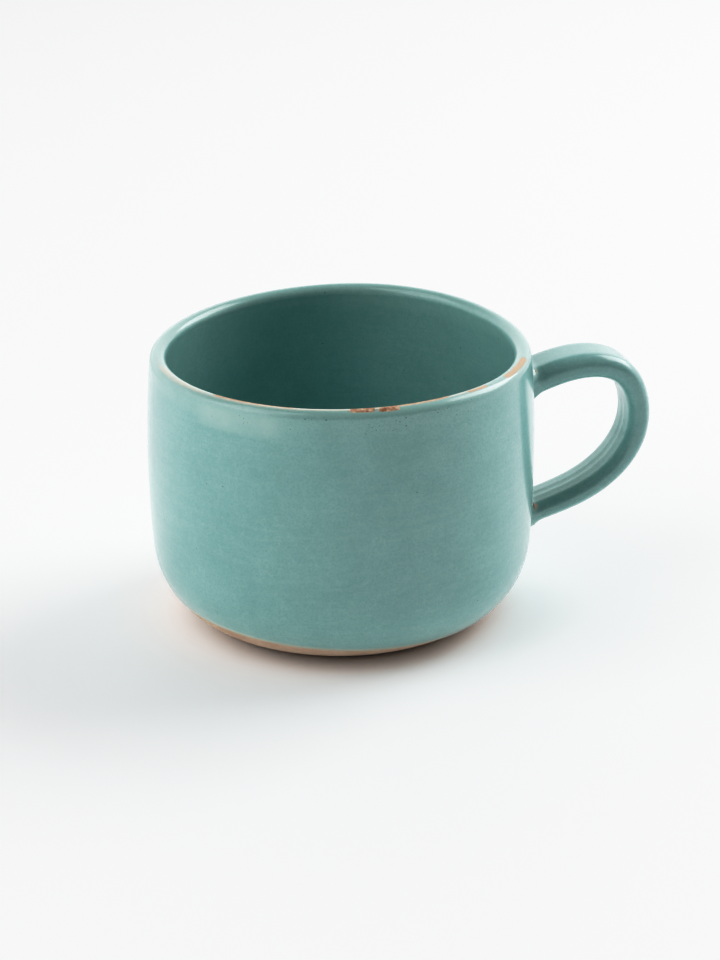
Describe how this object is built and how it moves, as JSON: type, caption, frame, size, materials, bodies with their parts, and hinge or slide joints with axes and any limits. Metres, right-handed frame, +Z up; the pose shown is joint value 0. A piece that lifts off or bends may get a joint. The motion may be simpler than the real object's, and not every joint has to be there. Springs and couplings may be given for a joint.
{
  "type": "ceramic mug",
  "caption": "Low wide stoneware mug with a rounded heel, bare clay foot, thick round rim and a pulled D-shaped side handle.",
  "frame": {"origin": "centre of the foot's underside, on the axis of the body", "axes": "+Z up along the axis of the body, +X towards the handle"},
  "size_m": [0.1446, 0.109, 0.0782],
  "materials": {
    "bare_clay": "matte",
    "teal_glaze": "satin"
  },
  "bodies": {
    "root": {"clay_body": "bare_clay", "clay_handle": "bare_clay", "upper_joint_slip": "bare_clay", "lower_joint_slip": "bare_clay", "outer_glaze": "teal_glaze", "inner_glaze": "teal_glaze", "handle_glaze": "teal_glaze"}
  },
  "joints": []
}
